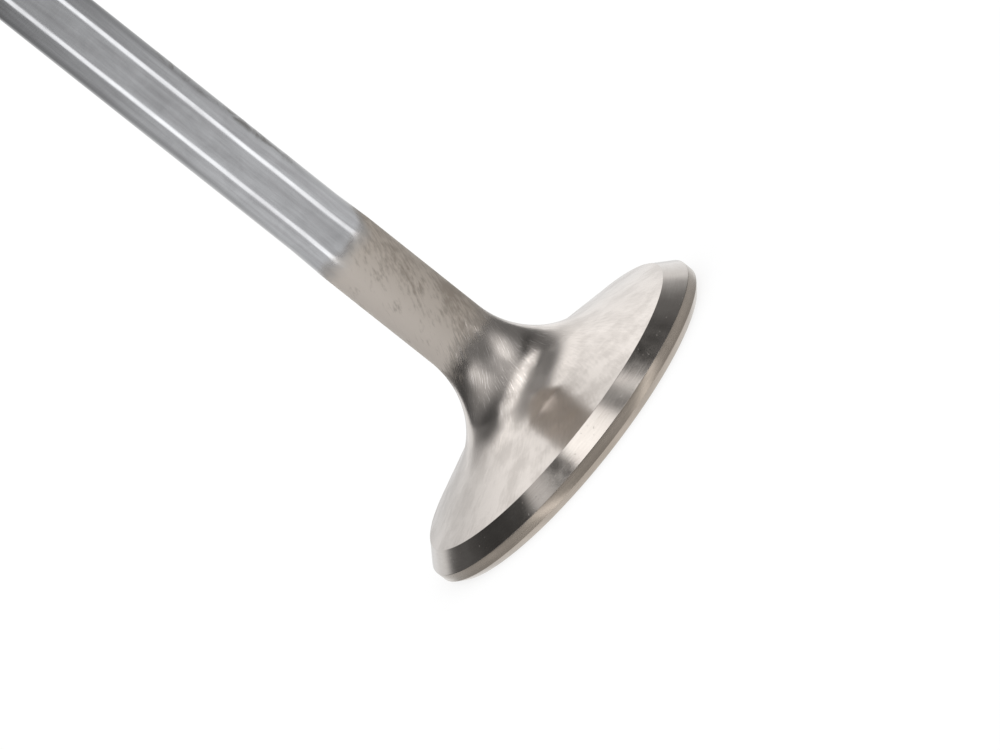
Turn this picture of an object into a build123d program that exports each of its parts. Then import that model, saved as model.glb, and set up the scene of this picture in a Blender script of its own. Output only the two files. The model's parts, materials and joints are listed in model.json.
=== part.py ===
from build123d import *
from math import cos, radians, sin, sqrt, tan
import os

# An intake valve of a piston engine: a mushroom-shaped poppet forged and turned from one bar of steel.
# It stands on the combustion face of its head, with its stem pointing up.
# The origin is the centre of that face, and +Z runs along the stem to the tip.
# Lengths are in millimetres and angles in degrees.

# Lengths along the stem
overall_length = 108.0  # combustion face to tip
plating_start = 28.8  # height above the face at which the plated, ground stem begins
runout_length = 4.0  # slight cone over which the grinding reaches the stem's full depth

# Stem
guide_bore = 7.0  # bore of the guide that the stem slides in
guide_clearance = 0.03  # play of the stem in its guide, across the diameter
neck_oversize = 0.23  # the forged neck is thicker than the ground stem, across the diameter

# Tip, with the round groove that the two spring keepers grip
tip_chamfer = 0.8
groove_from_tip = 4.5  # tip to the middle of the groove
groove_radius = 1.0  # radius of the groove's round section
groove_depth = 0.75
groove_edge_round = 0.12

# Head
head_diameter = 38.5
face_chamfer = 0.7  # bevel round the combustion face
margin_height = 1.05  # plain rim between the bevel and the seat
seat_angle = 45.0  # sealing cone, from the plane of the head
seat_width = 2.44  # sealing cone, along its slope
back_angle = 18.0  # back of the head, from the plane of the head
neck_fillet = 9.7  # sweep from the back of the head into the neck
edge_round = 0.06  # broken edges of the head

# Radii from the inside out
stem_radius = (guide_bore - guide_clearance) / 2
neck_radius = stem_radius + neck_oversize / 2
tip_radius = stem_radius - tip_chamfer
head_radius = head_diameter / 2
face_radius = head_radius - face_chamfer
seat_inner_radius = head_radius - seat_width * cos(radians(seat_angle))

# Heights from the face up
margin_top = face_chamfer + margin_height
seat_top = margin_top + seat_width * sin(radians(seat_angle))
back_rise = (seat_inner_radius - neck_radius) * tan(radians(back_angle))
groove_height = overall_length - groove_from_tip
groove_half_mouth = sqrt(groove_radius**2 - (groove_radius - groove_depth) ** 2)

# Corners of half the valve's section, as (radius, height)
face_edge = (face_radius, 0)
margin_foot = (head_radius, face_chamfer)
margin_edge = (head_radius, margin_top)
seat_edge = (seat_inner_radius, seat_top)
neck_corner = (neck_radius, seat_top + back_rise)
neck_end = (neck_radius, plating_start)
stem_foot = (stem_radius, plating_start + runout_length)
stem_end = (stem_radius, overall_length - tip_chamfer)
tip_edge = (tip_radius, overall_length)
groove_mouth = [
    (stem_radius, groove_height - groove_half_mouth),
    (stem_radius, groove_height + groove_half_mouth),
]


def corners(sketch, *points):
    """The corners of a sketch that lie at the given (radius, height) points."""
    return [sketch.vertices().sort_by_distance((*point, 0))[0] for point in points]


with BuildPart() as valve:
    with BuildSketch(Plane.XZ) as section:
        with BuildLine():
            Polyline(
                (0, 0),
                face_edge,
                margin_foot,
                margin_edge,
                seat_edge,
                neck_corner,
                neck_end,
                stem_foot,
                stem_end,
                tip_edge,
                (0, overall_length),
                close=True,
            )
        make_face()
        fillet(corners(section, neck_corner), radius=neck_fillet)
        fillet(corners(section, face_edge, margin_foot, margin_edge, seat_edge), radius=edge_round)
        with Locations((stem_radius - groove_depth + groove_radius, groove_height)):
            Circle(groove_radius, mode=Mode.SUBTRACT)
        fillet(corners(section, *groove_mouth), radius=groove_edge_round)
    revolve(axis=Axis.Z)

valve.part.label = "valve"

os.makedirs("parts", exist_ok=True)
export_step(valve.part, "parts/valve.step")

print(f"stem {2 * stem_radius:.2f}, neck {2 * neck_radius:.2f}, volume {valve.part.volume:.0f}")
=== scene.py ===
import json
from math import acos, cos, e, pi, radians, sin, tan

import bmesh
import bpy
from mathutils import Matrix, Vector


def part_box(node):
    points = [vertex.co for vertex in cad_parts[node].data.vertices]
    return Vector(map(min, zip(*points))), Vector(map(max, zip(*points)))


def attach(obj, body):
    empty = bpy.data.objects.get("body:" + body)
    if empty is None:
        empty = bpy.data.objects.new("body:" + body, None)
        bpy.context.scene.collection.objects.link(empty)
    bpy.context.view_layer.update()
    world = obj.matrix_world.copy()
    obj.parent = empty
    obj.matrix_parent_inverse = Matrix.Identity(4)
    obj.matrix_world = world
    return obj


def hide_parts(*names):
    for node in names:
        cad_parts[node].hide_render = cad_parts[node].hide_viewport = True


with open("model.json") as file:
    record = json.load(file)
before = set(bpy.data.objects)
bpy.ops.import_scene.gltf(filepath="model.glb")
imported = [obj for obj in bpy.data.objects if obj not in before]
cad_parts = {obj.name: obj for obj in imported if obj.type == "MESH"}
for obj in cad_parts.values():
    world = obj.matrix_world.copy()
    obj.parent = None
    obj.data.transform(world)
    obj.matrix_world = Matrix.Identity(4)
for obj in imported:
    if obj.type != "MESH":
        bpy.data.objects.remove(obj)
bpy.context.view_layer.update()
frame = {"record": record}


# The valve: one forging of heat-resisting steel, turned and ground, with hard chrome on its stem. Half its
# section is drawn as a chain of lines and arcs, its corners are broken, and it is turned once round its axis.
MM = 0.001
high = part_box("valve")[1]
mounts = {mount["name"]: mount for mount in frame["record"]["mounts"]}
overall_length = high.z
head_radius = high.x
stem_radius = mounts["stem"]["dims"]["r_mm"] * MM
groove_height = mounts["keeper_groove"]["pos_m"][2]

face_chamfer = 0.7 * MM
margin_height = 1.05 * MM
seat_width = 2.44 * MM
seat_angle = radians(45)
back_angle = radians(18)
neck_fillet = 9.7 * MM
neck_oversize = 0.23 * MM
plating_start = 28.8 * MM
plating_creep = 1.5 * MM  # how far the plating's soft edge reaches down the neck
runout_length = 4.0 * MM
tip_chamfer = 0.8 * MM
groove_radius = 1.0 * MM
groove_depth = 0.75 * MM
head_edge_break = 0.025 * MM
groove_edge_break = 0.09 * MM
steps_round = 360
weld = 0.001 * MM  # points closer together than this are one point

neck_radius = stem_radius + neck_oversize / 2
margin_top = face_chamfer + margin_height
seat_inner_radius = head_radius - seat_width * cos(seat_angle)
seat_top = margin_top + seat_width * sin(seat_angle)
neck_corner = Vector((neck_radius, 0, seat_top + (seat_inner_radius - neck_radius) * tan(back_angle)))
fillet_tangent = neck_fillet * tan((pi / 2 - back_angle) / 2)
fillet_start = neck_corner + fillet_tangent * Vector((cos(back_angle), 0, -sin(back_angle)))
fillet_centre = neck_corner + Vector((neck_fillet, 0, fillet_tangent))
groove_centre = Vector((stem_radius - groove_depth + groove_radius, 0, groove_height))
groove_half_angle = acos((groove_radius - groove_depth) / groove_radius)
groove_half_mouth = groove_radius * sin(groove_half_angle)

bpy.ops.object.select_all(action="DESELECT")
bpy.ops.mesh.primitive_plane_add(size=1 * MM)
turned_valve = bpy.context.object
turned_valve.name = turned_valve.data.name = "turned_valve"
bpy.ops.object.mode_set(mode="EDIT")
bpy.ops.mesh.merge(type="CENTER")
pen = Vector((0, 0, 0))
corners_to_break = []


def line_to(radius, height, edge_break=0.0):
    """Draws the section on from its last point, and remembers its new end if that corner is broken."""
    global pen
    end = Vector((radius, 0, height))
    bpy.ops.mesh.extrude_vertices_move(TRANSFORM_OT_translate={"value": end - pen})
    pen = end
    if edge_break:
        corners_to_break.append((end, edge_break))


def arc_about(centre, angle, steps):
    """Draws the section on as an arc about a centre. A positive angle turns from +X towards +Z."""
    global pen
    bpy.ops.mesh.spin(steps=steps, angle=angle, center=centre, axis=(0, 1, 0))
    pen = centre + Matrix.Rotation(-angle, 3, "Y") @ (pen - centre)


line_to(head_radius - face_chamfer, 0, head_edge_break)
line_to(head_radius, face_chamfer, head_edge_break)
line_to(head_radius, margin_top, head_edge_break)
line_to(seat_inner_radius, seat_top, head_edge_break)
line_to(fillet_start.x, fillet_start.z)
arc_about(fillet_centre, back_angle - pi / 2, steps=48)
line_to(neck_radius, plating_start - plating_creep)
line_to(neck_radius, plating_start)
line_to(stem_radius, plating_start + runout_length)
line_to(stem_radius, groove_height - groove_half_mouth, groove_edge_break)
arc_about(groove_centre, -2 * groove_half_angle, steps=24)
corners_to_break.append((pen, groove_edge_break))
line_to(stem_radius, overall_length - tip_chamfer, head_edge_break)
line_to(stem_radius - tip_chamfer, overall_length, head_edge_break)
line_to(0, overall_length)

for corner, edge_break in corners_to_break:
    section = bmesh.from_edit_mesh(turned_valve.data)
    bpy.ops.mesh.select_all(action="DESELECT")
    nearest = min(section.verts, key=lambda vertex: (vertex.co - corner).length)
    nearest.select = True
    section.select_flush(True)
    bmesh.update_edit_mesh(turned_valve.data)
    bpy.ops.mesh.bevel(offset=edge_break, segments=4, affect="VERTICES")

bpy.ops.mesh.select_all(action="SELECT")
bpy.ops.mesh.spin(steps=steps_round, angle=2 * pi, center=(0, 0, 0), axis=(0, 0, 1))
bpy.ops.mesh.select_all(action="SELECT")
bpy.ops.mesh.remove_doubles(threshold=weld)
bpy.ops.mesh.normals_make_consistent(inside=False)
bpy.ops.object.mode_set(mode="OBJECT")
bpy.ops.object.shade_smooth()
weighted = turned_valve.modifiers.new("flat between the edges", "WEIGHTED_NORMAL")
weighted.weight = 100
bpy.ops.object.modifier_apply(modifier=weighted.name)

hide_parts("valve")
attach(turned_valve, "root")


# The finishes of the valve: four, from the head up, all bare metal. Each has its colour, its polish and the
# marks that the last tool left, round the axis or along the section. So the patterns are laid out on the
# turned surface: round it by direction from the axis, and along it in millimetres.
def linear(hex_colour):
    """The linear colour of an sRGB hex value."""
    channels = [int(hex_colour[i : i + 2], 16) / 255 for i in (1, 3, 5)]
    return [c / 12.92 if c <= 0.04045 else ((c + 0.055) / 1.055) ** 2.4 for c in channels] + [1.0]


def add(tree, kind, inputs=None, **settings):
    """Adds a shader node. An input is a value, an output or a node, which stands for its first output."""
    made = tree.nodes.new("ShaderNode" + kind)
    for name, value in settings.items():
        setattr(made, name, value)
    for name, value in (inputs or {}).items():
        if isinstance(value, bpy.types.Node):
            value = value.outputs[0]
        if isinstance(value, bpy.types.NodeSocket):
            tree.links.new(value, made.inputs[name])
        else:
            made.inputs[name].default_value = value
    return made


def new_material(name):
    """A material with nothing in it yet, and its node tree."""
    material = bpy.data.materials.new(name)
    material.use_nodes = True
    material.node_tree.nodes.clear()
    return material, material.node_tree


def turned_surface(tree):
    """A point's place, height, distance from the axis, direction from the axis, and distance towards +X."""
    place = add(tree, "TexCoord").outputs["Object"]
    across = add(tree, "VectorMath", {0: place, 1: (1, 1, 0)}, operation="MULTIPLY")
    radius = add(tree, "VectorMath", {0: across}, operation="LENGTH").outputs["Value"]
    outward = add(tree, "VectorMath", {0: across}, operation="NORMALIZE")
    east, _, height = add(tree, "SeparateXYZ", {0: place}).outputs
    return place, height, radius, outward, east


def marks(tree, outward, turns, along, length, detail=3.0):
    """Streaky noise on a turned surface: so many streaks in a radian round it, and their length along it."""
    step = add(tree, "Math", {0: along, 1: length}, operation="DIVIDE")
    on_axis = add(tree, "CombineXYZ", {"Z": step})
    spot = add(tree, "VectorMath", {0: outward, 1: (turns, turns, 0), 2: on_axis}, operation="MULTIPLY_ADD")
    return add(tree, "TexNoise", {"Vector": spot, "Scale": 1.0, "Detail": detail, "Roughness": 0.6})


# Turned steel, on the combustion face, its bevel and the margin: the tool's feed leaves fine rings round
# the axis, so it is satin and warm grey. The feed is about 0.1 mm, and the rings are drawn twice as wide.
ring_width = 0.22 * MM
ring_depth = 0.0012 * MM
stain_size = 2.5 * MM

turned_steel, tree = new_material("turned_steel")
place, height, radius, outward, _ = turned_surface(tree)
along = add(tree, "Math", {0: radius, 1: height}, operation="ADD")
rings = marks(tree, outward, 1.5, along, ring_width)
stain = add(tree, "TexNoise", {"Vector": place, "Scale": 1 / stain_size, "Detail": 4.0})
tone = add(tree, "Math", {0: rings, 1: stain}, operation="ADD")
tone = add(tree, "MapRange", {0: tone, 1: 0.65, 2: 1.35}, interpolation_type="SMOOTHSTEP")
colour = {0: tone, 6: linear("#948b81"), 7: linear("#a2988e")}
colour = add(tree, "Mix", colour, data_type="RGBA").outputs[2]
polish = add(tree, "MapRange", {0: rings, 1: 0.35, 2: 0.7, 3: 0.22, 4: 0.3})
relief = add(tree, "Bump", {"Height": rings, "Distance": ring_depth, "Strength": 1.0})
steel = {"Base Color": colour, "Metallic": 1.0, "Roughness": polish, "Normal": relief}
steel = add(tree, "BsdfPrincipled", steel)
add(tree, "OutputMaterial", {"Surface": steel})


# Ground steel, on the sealing seat and the end of the tip: the stone leaves hair lines round the axis, too
# fine to see one by one, so the seat mirrors crisply. A few pits catch the light as bright specks.
hair_width = 0.16 * MM
hair_depth = 0.0006 * MM
cloud_size = 1.8 * MM
speck_size = 0.28 * MM
speck_depth = 0.005 * MM

ground_steel, tree = new_material("ground_steel")
place, height, radius, outward, _ = turned_surface(tree)
along = add(tree, "Math", {0: radius, 1: height}, operation="SUBTRACT")
hair_lines = marks(tree, outward, 5.0, along, hair_width)
clouds = add(tree, "TexNoise", {"Vector": place, "Scale": 1 / cloud_size, "Detail": 3.0})
specks = add(tree, "TexNoise", {"Vector": place, "Scale": 1 / speck_size, "Detail": 1.0})
specks = add(tree, "MapRange", {0: specks, 1: 0.73, 2: 0.8}, interpolation_type="SMOOTHSTEP")
tone = add(tree, "Math", {0: hair_lines, 1: clouds}, operation="ADD")
tone = add(tree, "MapRange", {0: tone, 1: 0.7, 2: 1.35}, interpolation_type="SMOOTHSTEP")
colour = {0: tone, 6: linear("#b4ada7"), 7: linear("#beb8b2")}
colour = add(tree, "Mix", colour, data_type="RGBA").outputs[2]
polish = add(tree, "MapRange", {0: clouds, 1: 0.3, 2: 0.75, 3: 0.09, 4: 0.13})
polish = add(tree, "Math", {0: specks, 1: 0.15, 2: polish}, operation="MULTIPLY_ADD")
relief = add(tree, "Bump", {"Height": hair_lines, "Distance": hair_depth, "Strength": 1.0})
relief = add(tree, "Bump", {"Height": specks, "Distance": speck_depth, "Strength": 1.0, "Normal": relief})
steel = {"Base Color": colour, "Metallic": 1.0, "Roughness": polish, "Normal": relief}
steel = add(tree, "BsdfPrincipled", steel)
add(tree, "OutputMaterial", {"Surface": steel})


# Brushed forging, on the back of the head, the fillet and the neck: the belt that polished the head ran along
# the section and leaned to one side, so its fibres wind round like a steep thread. In the fillet some fibres
# are painted lighter, as painted glints.
# The neck was only wiped, so it is matt and beige with brown scale. Between them the polish fades out in a
# ragged edge, lower down on the -X side.
belt_lean = tan(radians(28))
fibre_length = 1.6 * MM
scratch_length = 0.9 * MM
forging_depth = 0.012 * MM
forging_cloud = 3.2 * MM
fillet_middle = fillet_centre.z - neck_fillet / 2
painted_glint_start, painted_glint_full = 7.0 * MM, 9.5 * MM  # heights between which the glints come in
deep_start, deep_full = 6.0 * MM, 10.0 * MM  # heights between which the fibres get deep
fibres_full, fibres_end = 12.0 * MM, 15.0 * MM  # heights between which scratches take the fibres' place
polish_top = 14.6 * MM  # height at which half the polish is gone
polish_fade = 1.3 * MM  # how far below and above that the fade reaches
polish_dip = 1.9 * MM  # how much lower the polish ends on the -X side
dip_full, dip_end = -4.0 * MM, -1.0 * MM  # distances towards +X between which that dip runs out
ragged_by_clouds = 3.0 * MM  # how far the clouds, and then the fibres, pull the edge of the polish about
ragged_by_fibres = 5.0 * MM


def forging(tree, surface):
    """The colour, metal, roughness and relief of the forging, which the plated stem shares at its foot."""
    place, height, radius, outward, east = surface
    along = add(tree, "Math", {0: height, 1: radius}, operation="SUBTRACT")
    full_climb = belt_lean * (plating_start - fillet_middle) / neck_radius
    climb = add(tree, "MapRange", {0: height, 1: fillet_middle, 2: plating_start, 4: -full_climb})
    sweep = add(tree, "Math", {0: radius, 1: neck_radius}, operation="DIVIDE")
    sweep = add(tree, "Math", {0: sweep, 1: e}, operation="LOGARITHM")
    wind = add(tree, "Math", {0: sweep, 1: belt_lean, 2: climb}, operation="MULTIPLY_ADD")
    wound = add(tree, "VectorRotate", {"Vector": outward, "Angle": wind}, rotation_type="Z_AXIS")

    fibres = marks(tree, wound, 42, along, fibre_length)
    scratches = marks(tree, wound, 11, along, scratch_length, detail=5.0)
    clouds = {"Vector": place, "Scale": 1 / forging_cloud, "Detail": 5.0, "Roughness": 0.55}
    clouds = add(tree, "TexNoise", {**clouds, "Distortion": 0.15})

    # How far a point is polished, from 1 on the head to 0 on the neck
    dip = {0: east, 1: dip_full, 2: dip_end, 3: polish_dip, 4: 0.0}
    dip = add(tree, "MapRange", dip, interpolation_type="SMOOTHSTEP")
    level = add(tree, "Math", {0: height, 1: dip}, operation="ADD")
    ragged = add(tree, "Math", {0: clouds, 1: 0.5}, operation="SUBTRACT")
    level = add(tree, "Math", {0: ragged, 1: -ragged_by_clouds, 2: level}, operation="MULTIPLY_ADD")
    ragged = add(tree, "Math", {0: fibres, 1: 0.5}, operation="SUBTRACT")
    level = add(tree, "Math", {0: ragged, 1: -ragged_by_fibres, 2: level}, operation="MULTIPLY_ADD")
    polished = {0: level, 1: polish_top + polish_fade, 2: polish_top - polish_fade}
    polished = add(tree, "MapRange", polished, interpolation_type="SMOOTHSTEP")

    # The bright metal, blotched, with painted glints: some fibres painted lighter as highlights
    tone = add(tree, "Math", {0: clouds, 1: 3.0, 2: fibres}, operation="MULTIPLY_ADD")
    tone = add(tree, "MapRange", {0: tone, 1: 1.4, 2: 2.45}, interpolation_type="SMOOTHSTEP")
    bright = {0: tone, 6: linear("#c1bab4"), 7: linear("#d3ccc6")}
    bright = add(tree, "Mix", bright, data_type="RGBA").outputs[2]
    # Painted glints: the brightest fibres, from the painted_glint_start height up, take a near-white colour
    # as painted highlights
    painted_glints = add(tree, "MapRange", {0: fibres, 1: 0.56, 2: 0.7}, interpolation_type="SMOOTHSTEP")
    painted_glint_band = {0: height, 1: painted_glint_start, 2: painted_glint_full}
    painted_glint_band = add(tree, "MapRange", painted_glint_band, interpolation_type="SMOOTHSTEP")
    painted_glints = add(tree, "Math", {0: painted_glints, 1: painted_glint_band}, operation="MULTIPLY")
    bright = add(tree, "Mix", {0: painted_glints, 6: bright, 7: linear("#f4ede8")}, data_type="RGBA").outputs[2]

    # The matt neck, with painted shade that darkens it towards +X, and its scale, which also gathers towards
    # +X
    painted_shade_and_scale_side = {0: east, 1: -neck_radius, 2: neck_radius}
    painted_shade_and_scale_side = add(tree, "MapRange", painted_shade_and_scale_side, interpolation_type="SMOOTHSTEP")
    # A lit and a shaded copy of the neck's colour, mixed across it from -X to +X as painted shade
    matt = {0: painted_shade_and_scale_side, 6: linear("#e5ddd5"), 7: linear("#cac1b7")}
    matt = add(tree, "Mix", matt, data_type="RGBA").outputs[2]
    scale = add(tree, "Math", {0: painted_shade_and_scale_side, 1: 0.35, 2: scratches}, operation="MULTIPLY_ADD")
    scale = add(tree, "Math", {0: clouds, 1: 1.1, 2: scale}, operation="MULTIPLY_ADD")
    scale = {0: scale, 1: 1.18, 2: 1.58, 3: 0.0, 4: 0.65}
    scale = add(tree, "MapRange", scale, interpolation_type="SMOOTHSTEP")
    matt = add(tree, "Mix", {0: scale, 6: matt, 7: linear("#968b80")}, data_type="RGBA").outputs[2]

    # The two together, with a darker rim where one fades into the other
    colour = add(tree, "Mix", {0: polished, 6: matt, 7: bright}, data_type="RGBA").outputs[2]
    rim = add(tree, "Math", {0: 1.0, 1: polished}, operation="SUBTRACT")
    rim = add(tree, "Math", {0: polished, 1: rim}, operation="MULTIPLY")
    rim = add(tree, "Math", {0: rim, 1: 2.6}, operation="MULTIPLY")
    colour = add(tree, "Mix", {0: rim, 6: colour, 7: linear("#8f867d")}, data_type="RGBA").outputs[2]
    metal = add(tree, "MapRange", {0: polished, 3: 0.6, 4: 1.0})
    gloss = add(tree, "MapRange", {0: tone, 3: 0.24, 4: 0.16})
    roughness = add(tree, "Mix", {0: polished, 2: 0.7, 3: gloss})

    # Fibres on the head, deepest in the fillet, and coarser scratches on the neck
    on_head = {0: height, 1: fibres_end, 2: fibres_full}
    on_head = add(tree, "MapRange", on_head, interpolation_type="SMOOTHSTEP")
    strokes = add(tree, "Mix", {0: on_head, 2: scratches, 3: fibres})
    depth = {0: height, 1: deep_start, 2: deep_full, 3: 0.16, 4: 0.5}
    depth = add(tree, "MapRange", depth, interpolation_type="SMOOTHSTEP")
    depth = add(tree, "Mix", {0: on_head, 2: 0.3, 3: depth})
    relief = add(tree, "Math", {0: strokes, 1: depth}, operation="MULTIPLY")
    return colour, metal, roughness, relief


brushed_forging, tree = new_material("brushed_forging")
colour, metal, roughness, relief = forging(tree, turned_surface(tree))
relief = add(tree, "Bump", {"Height": relief, "Distance": forging_depth, "Strength": 1.0})
steel = {"Base Color": colour, "Metallic": metal, "Roughness": roughness, "Normal": relief}
steel = add(tree, "BsdfPrincipled", steel)
add(tree, "OutputMaterial", {"Surface": steel})


# Hard chrome, ground, on the stem: a neutral grey, smooth plating with hair lines round the axis, which draws
# the lamps as thin straight lines. It fades out over the neck in a soft edge, higher up on the +X side, where
# it also has dull smudges. They are rougher, and their darker colour along that edge is painted shade.
chrome_hair = 0.2 * MM
chrome_hair_depth = 0.0004 * MM
smear_length = 9.0 * MM
edge_size = 2.2 * MM
edge_reach = 1.6 * MM  # how far the noise pulls the plating's edge about
edge_creep = 1.5 * MM  # how much higher it starts on the +X side
edge_below, edge_above = 2.1 * MM, 0.5 * MM  # how far round its start it fades
smudge_size = 2.4 * MM
smudges_from = 36.0 * MM
smudges_to = 58.0 * MM

hard_chrome, tree = new_material("hard_chrome")
surface = turned_surface(tree)
steel_colour, steel_metal, steel_roughness, steel_relief = forging(tree, surface)
place, height, _, outward, east = surface

# Where the stem is plated
creep = {0: east, 1: 0.7 * stem_radius, 2: stem_radius, 3: 0.0, 4: edge_creep}
creep = add(tree, "MapRange", creep, interpolation_type="SMOOTHSTEP")
edge = {"Vector": place, "Scale": 1 / edge_size, "Detail": 3.0, "Roughness": 0.6}
edge = add(tree, "TexNoise", edge)
level = add(tree, "Math", {0: height, 1: creep}, operation="SUBTRACT")
level = add(tree, "Math", {0: edge, 1: -edge_reach, 2: level}, operation="MULTIPLY_ADD")
plated = {0: level, 1: plating_start - edge_below, 2: plating_start + edge_above}
plated = add(tree, "MapRange", plated, interpolation_type="SMOOTHSTEP")

# The smudges: rougher, and darker in colour only along the stem's +X edge, which is painted shade
smudge = {"Vector": place, "Scale": 1 / smudge_size, "Detail": 5.0, "Roughness": 0.65}
smudge = add(tree, "TexNoise", {**smudge, "Distortion": 0.5})
dull_smudges_and_painted_shade = add(tree, "MapRange", {0: smudge, 1: 0.46, 2: 0.66}, interpolation_type="SMOOTHSTEP")
smudge_and_painted_shade_edge = {0: east, 1: 0.78 * stem_radius, 2: 0.93 * stem_radius}
smudge_and_painted_shade_edge = add(tree, "MapRange", smudge_and_painted_shade_edge, interpolation_type="SMOOTHSTEP")
middle = (smudges_from + smudges_to) / 2
off_middle = add(tree, "Math", {0: height, 1: middle}, operation="SUBTRACT")
off_middle = add(tree, "Math", {0: off_middle}, operation="ABSOLUTE")
near = {0: off_middle, 1: smudges_to - middle, 2: (smudges_to - middle) / 2}
near = add(tree, "MapRange", near, interpolation_type="SMOOTHSTEP")
dull_smudges_and_painted_shade = add(tree, "Math", {0: dull_smudges_and_painted_shade, 1: smudge_and_painted_shade_edge}, operation="MULTIPLY")
dull_smudges_and_painted_shade = add(tree, "Math", {0: dull_smudges_and_painted_shade, 1: near}, operation="MULTIPLY")

# The plating over the forging
smears = marks(tree, outward, 5.0, height, smear_length, detail=4.0)
tone = add(tree, "MapRange", {0: smears, 1: 0.75, 2: 0.3}, interpolation_type="SMOOTHSTEP")
chrome = {0: tone, 6: linear("#98989a"), 7: linear("#acadaf")}
chrome = add(tree, "Mix", chrome, data_type="RGBA").outputs[2]
# The smudges' darker colour: painted shade along the +X edge of the stem
chrome = add(tree, "Mix", {0: dull_smudges_and_painted_shade, 6: chrome, 7: linear("#82807e")}, data_type="RGBA").outputs[2]
colour = add(tree, "Mix", {0: plated, 6: steel_colour, 7: chrome}, data_type="RGBA").outputs[2]
gloss = add(tree, "MapRange", {0: smudge, 1: 0.35, 2: 0.75, 3: 0.09, 4: 0.16})
gloss = add(tree, "Math", {0: dull_smudges_and_painted_shade, 1: 0.15, 2: gloss}, operation="MULTIPLY_ADD")
roughness = add(tree, "Mix", {0: plated, 2: steel_roughness, 3: gloss})
metal = add(tree, "Mix", {0: plated, 2: steel_metal, 3: 1.0})
hair_lines = marks(tree, outward, 1.6, height, chrome_hair)
hair_lines = {"Height": hair_lines, "Distance": chrome_hair_depth, "Strength": 1.0}
hair_lines = add(tree, "Bump", hair_lines)
bare = add(tree, "Math", {0: 1.0, 1: plated}, operation="SUBTRACT")
relief = add(tree, "Math", {0: steel_relief, 1: bare}, operation="MULTIPLY")
relief = {"Height": relief, "Distance": forging_depth, "Strength": 1.0, "Normal": hair_lines}
relief = add(tree, "Bump", relief)
steel = {"Base Color": colour, "Metallic": metal, "Roughness": roughness, "Normal": relief}
steel = add(tree, "BsdfPrincipled", steel)
add(tree, "OutputMaterial", {"Surface": steel})


# Each face gets the finish of its height, from the head up to the tip.
finishes = [
    (turned_steel, margin_top),
    (ground_steel, seat_top),
    (brushed_forging, plating_start - plating_creep),
    (hard_chrome, overall_length - tip_chamfer / 2),
    (ground_steel, overall_length),
]
for finish, _ in finishes:
    turned_valve.data.materials.append(finish)
tops = [top + weld for _, top in finishes]
for face in turned_valve.data.polygons:
    face.material_index = next(i for i, top in enumerate(tops) if face.center.z <= top)


# The floor: a plain white sheet that the valve stands on. It is a dim sheet with a glow that only the camera
# sees, so it looks white and keeps the valve's shadow. The metal mirrors the white table of the studio in its
# place, so the sheet is hidden from mirrored light.
floor_size = 8.0
floor_gap = 0.01 * MM
sheet_shade = 0.2
sheet_glow = 0.82

bpy.ops.object.select_all(action="DESELECT")
bpy.ops.mesh.primitive_plane_add(size=floor_size, location=(0, 0, -floor_gap))
floor = bpy.context.object
floor.name = floor.data.name = "floor"
floor.visible_glossy = False
white_paper, tree = new_material("white_paper")
paper = add(tree, "BsdfDiffuse", {"Color": (sheet_shade, sheet_shade, sheet_shade, 1)})
seen = add(tree, "LightPath").outputs["Is Camera Ray"]
glow = add(tree, "Math", {0: seen, 1: sheet_glow}, operation="MULTIPLY")
glow = add(tree, "Emission", {"Color": (1, 1, 1, 1), "Strength": glow})
white = add(tree, "AddShader", {0: paper, 1: glow})
add(tree, "OutputMaterial", {"Surface": white})
floor.data.materials.append(white_paper)


# The light: a white studio round the valve, painted on the sky in degrees. Azimuth 0 is the camera's side and
# 90 is +X. The camera, the floor and matt surfaces get plain white light. Only what the metal mirrors has the
# dim ceiling, the white walls, the lamps and the dark flags in it, each painted over the ones before it.
world = bpy.data.worlds.new("white_studio")
bpy.context.scene.world = world
world.use_nodes = True
tree = world.node_tree
tree.nodes.clear()
direction = add(tree, "TexCoord").outputs["Generated"]
east, north, above = add(tree, "SeparateXYZ", {0: direction}).outputs
south = add(tree, "Math", {0: north, 1: -1}, operation="MULTIPLY")
azimuth = add(tree, "Math", {0: east, 1: south}, operation="ARCTAN2")
azimuth = add(tree, "Math", {0: azimuth, 1: 180 / pi}, operation="MULTIPLY")
elevation = add(tree, "Math", {0: above}, operation="ARCSINE")
elevation = add(tree, "Math", {0: elevation, 1: 180 / pi}, operation="MULTIPLY")


def window(value, middle, half_width, softness, wrapped=False):
    """1 where the value is within half_width of the middle and 0 outside, with a soft edge between."""
    off = add(tree, "Math", {0: value, 1: middle}, operation="SUBTRACT")
    if wrapped:
        off = add(tree, "Math", {0: off, 1: 180, 2: -180}, operation="WRAP")
    off = add(tree, "Math", {0: off}, operation="ABSOLUTE")
    edge = {0: off, 1: half_width + softness / 2, 2: half_width - softness / 2}
    return add(tree, "MapRange", edge, interpolation_type="SMOOTHSTEP")


def panel(brightness, below, azimuths, elevations, softness, lean=0.0):
    """Paints a panel that spans these degrees over what is below it, with soft sides and a soft top and foot.
    A leaning panel moves sideways by so many degrees for each degree up."""
    middle, half_width = sum(azimuths) / 2, (azimuths[1] - azimuths[0]) / 2
    centre, half_height = sum(elevations) / 2, (elevations[1] - elevations[0]) / 2
    leant = azimuth
    if lean:
        leant = add(tree, "Math", {0: elevation, 1: -lean, 2: azimuth}, operation="MULTIPLY_ADD")
    across = window(leant, middle - lean * centre, half_width, softness[0], wrapped=True)
    upward = window(elevation, centre, half_height, softness[1])
    covered = add(tree, "Math", {0: across, 1: upward}, operation="MULTIPLY")
    return add(tree, "Mix", {0: covered, 2: below, 3: brightness})


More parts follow.
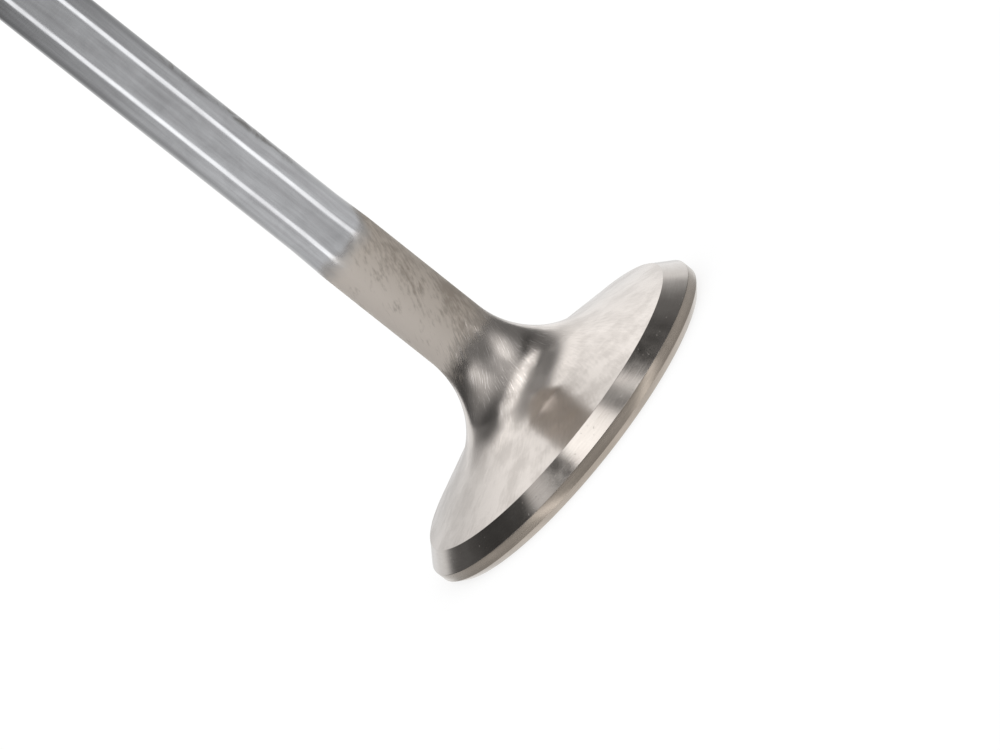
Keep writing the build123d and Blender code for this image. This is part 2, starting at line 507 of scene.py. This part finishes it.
def arch(brightness, below, centre, radius, width, softness, azimuths, end_softness):
    """Paints a curved strip lamp that hangs level over the valve, one unit up, over what is below it."""
    up = add(tree, "Math", {0: 1, 1: above}, operation="DIVIDE")
    ceiling = add(tree, "VectorMath", {0: direction, "Scale": up}, operation="SCALE")
    off = add(tree, "VectorMath", {0: ceiling, 1: (*centre, 1)}, operation="DISTANCE").outputs["Value"]
    strip = window(off, radius, width / 2, softness)
    middle, half_width = sum(azimuths) / 2, (azimuths[1] - azimuths[0]) / 2
    part = window(azimuth, middle, half_width, end_softness, wrapped=True)
    overhead = add(tree, "Math", {0: above, 1: 0}, operation="GREATER_THAN")
    covered = add(tree, "Math", {0: strip, 1: part}, operation="MULTIPLY")
    covered = add(tree, "Math", {0: covered, 1: overhead}, operation="MULTIPLY")
    return add(tree, "Mix", {0: covered, 2: below, 3: brightness})


# The dim ceiling, the white wall behind the valve, and the flags to the left and the right of it
sky = panel(0.34, 0.22, (-180, 180), (29.3, 130), (0.1, 15))
sky = panel(0.17, sky, (-49, 103.5), (41, 140), (8.5, 17.5), lean=2.55)
sky = panel(1.17, sky, (137, 214.5), (-30, 62.3), (19, 19))
sky = panel(1.33, sky, (148, 171), (28, 60), (10, 14))
sky = panel(0.03, sky, (-160, -140.5), (-5, 53.5), (60, 60), lean=0.79)
sky = panel(0.06, sky, (-138, -24.3), (-7.5, 62), (3, 51), lean=0.94)
sky = panel(0.2, sky, (101, 144.5), (-24.5, 69.5), (28, 60), lean=-0.75)

# The light ends of the wall, which show at the two ends of the seat
sky = panel(1.1, sky, (148, 170), (-5, 21), (8, 10))
sky = panel(0.95, sky, (-171, -150), (-5, 19), (10, 10))

# Two large soft lamps over the camera's shoulders, which light the fillet, and the dim gap between them
sky = panel(1.04, sky, (-72.4, -31), (16, 42.5), (60, 4.5))
sky = panel(0.81, sky, (-83, -3), (36, 54.3), (57.5, 60), lean=2.6)
sky = panel(1.07, sky, (25.3, 65.3), (15, 52), (35.5, 28), lean=-1.12)
sky = panel(0.56, sky, (3, 36), (32, 78.7), (3, 22.5), lean=0.29)

# The curved strip lamp overhead, which draws the bright arc in the fillet and the bright middle of the seat,
# and the slots and bars at its two ends, which draw the light and dark bars of the seat
sky = arch(2.0, sky, (0.174, 0.273), 0.603, 0.284, 0.084, (-110.5, 102), 62)
sky = panel(0.93, sky, (-144.3, -68.3), (60.5, 69), (15.5, 5), lean=2.59)
sky = panel(2.5, sky, (77.8, 83.6), (59.4, 68.1), (3, 60), lean=-0.84)
sky = panel(0.04, sky, (-65.3, -46.3), (68, 75.7), (3, 5.5), lean=4.0)
sky = panel(0.03, sky, (54, 66.1), (62.4, 78.5), (3.3, 38), lean=-1.76)
sky = panel(0.03, sky, (88.3, 101.6), (43, 75.6), (5, 16), lean=-1.42)

# A soft lamp high at the back left, and two flags at the right end of the arc
sky = panel(2.03, sky, (-141.9, -140.8), (45.3, 71), (49.6, 12.7), lean=0.87)
sky = panel(0.04, sky, (86, 103), (20, 53), (6.5, 28), lean=-1.91)
sky = panel(0.21, sky, (108.7, 132), (50, 72.2), (14.5, 3), lean=0.43)

# The soft shade beside the mirror image of the stem, on its right
sky = panel(0.75, sky, (171, 176), (30, 47), (6, 6))

# The white table all round, a grey band in it for the margin, and two strip lamps for the stem's two lines
sky = panel(1.02, sky, (-180, 180), (-100, -8.7), (0.1, 5))
sky = panel(1.25, sky, (-112, 112), (-100, -8.7), (30, 5))
sky = panel(1.08, sky, (-50, 50), (-100, -7.4), (50, 5))
sky = panel(0.6, sky, (-180, 180), (-130, -12.6), (0.1, 1.5))
sky = panel(1.25, sky, (152, 208), (-34, -11.8), (12, 1.5))
sky = panel(1.3, sky, (-180, 180), (-130, -35), (0.1, 20))
sky = panel(2.5, sky, (-45.5, -31.5), (-40, -5), (5, 4), lean=-1.0)
sky = panel(2.5, sky, (32.5, 46.5), (-40, -5), (5, 4), lean=1.0)

path = add(tree, "LightPath")
mirrored = {0: path.outputs["Is Glossy Ray"], 1: path.outputs["Is Transmission Ray"]}
mirrored = add(tree, "Math", mirrored, operation="MAXIMUM")
strength = add(tree, "Mix", {0: mirrored, 2: 1.0, 3: sky})
studio = add(tree, "Background", {"Color": (1, 1, 1, 1), "Strength": strength})
add(tree, "OutputWorld", {"Surface": studio})


# The camera stands on the valve's -Y side, a little above the head, and is rolled as in the photograph.
camera_distance = 0.7
camera_elevation = radians(12.3328)
camera_roll = radians(-51.568)
face_centre_pixel = Vector((572.458, 427.258))
picture_size = Vector((1000, 750))
focal_pixels = 7202
sensor_width = 36

camera_data = bpy.data.cameras.new("camera")
camera_data.sensor_width = sensor_width
camera_data.lens = focal_pixels / picture_size.x * sensor_width
forward = Vector((0, cos(camera_elevation), -sin(camera_elevation)))
level_right = Vector((1, 0, 0))
level_up = level_right.cross(forward)
right = level_right * cos(camera_roll) + level_up * sin(camera_roll)
up = level_up * cos(camera_roll) - level_right * sin(camera_roll)
offset = (face_centre_pixel - (picture_size - Vector((1, 1))) / 2) / focal_pixels
place = -camera_distance * (forward + right * offset.x - up * offset.y)
camera = bpy.data.objects.new("camera", camera_data)
camera.matrix_world = Matrix.Translation(place) @ Matrix((right, up, -forward)).transposed().to_4x4()
bpy.context.collection.objects.link(camera)
bpy.context.scene.camera = camera
bpy.context.scene.view_settings.view_transform = "Standard"
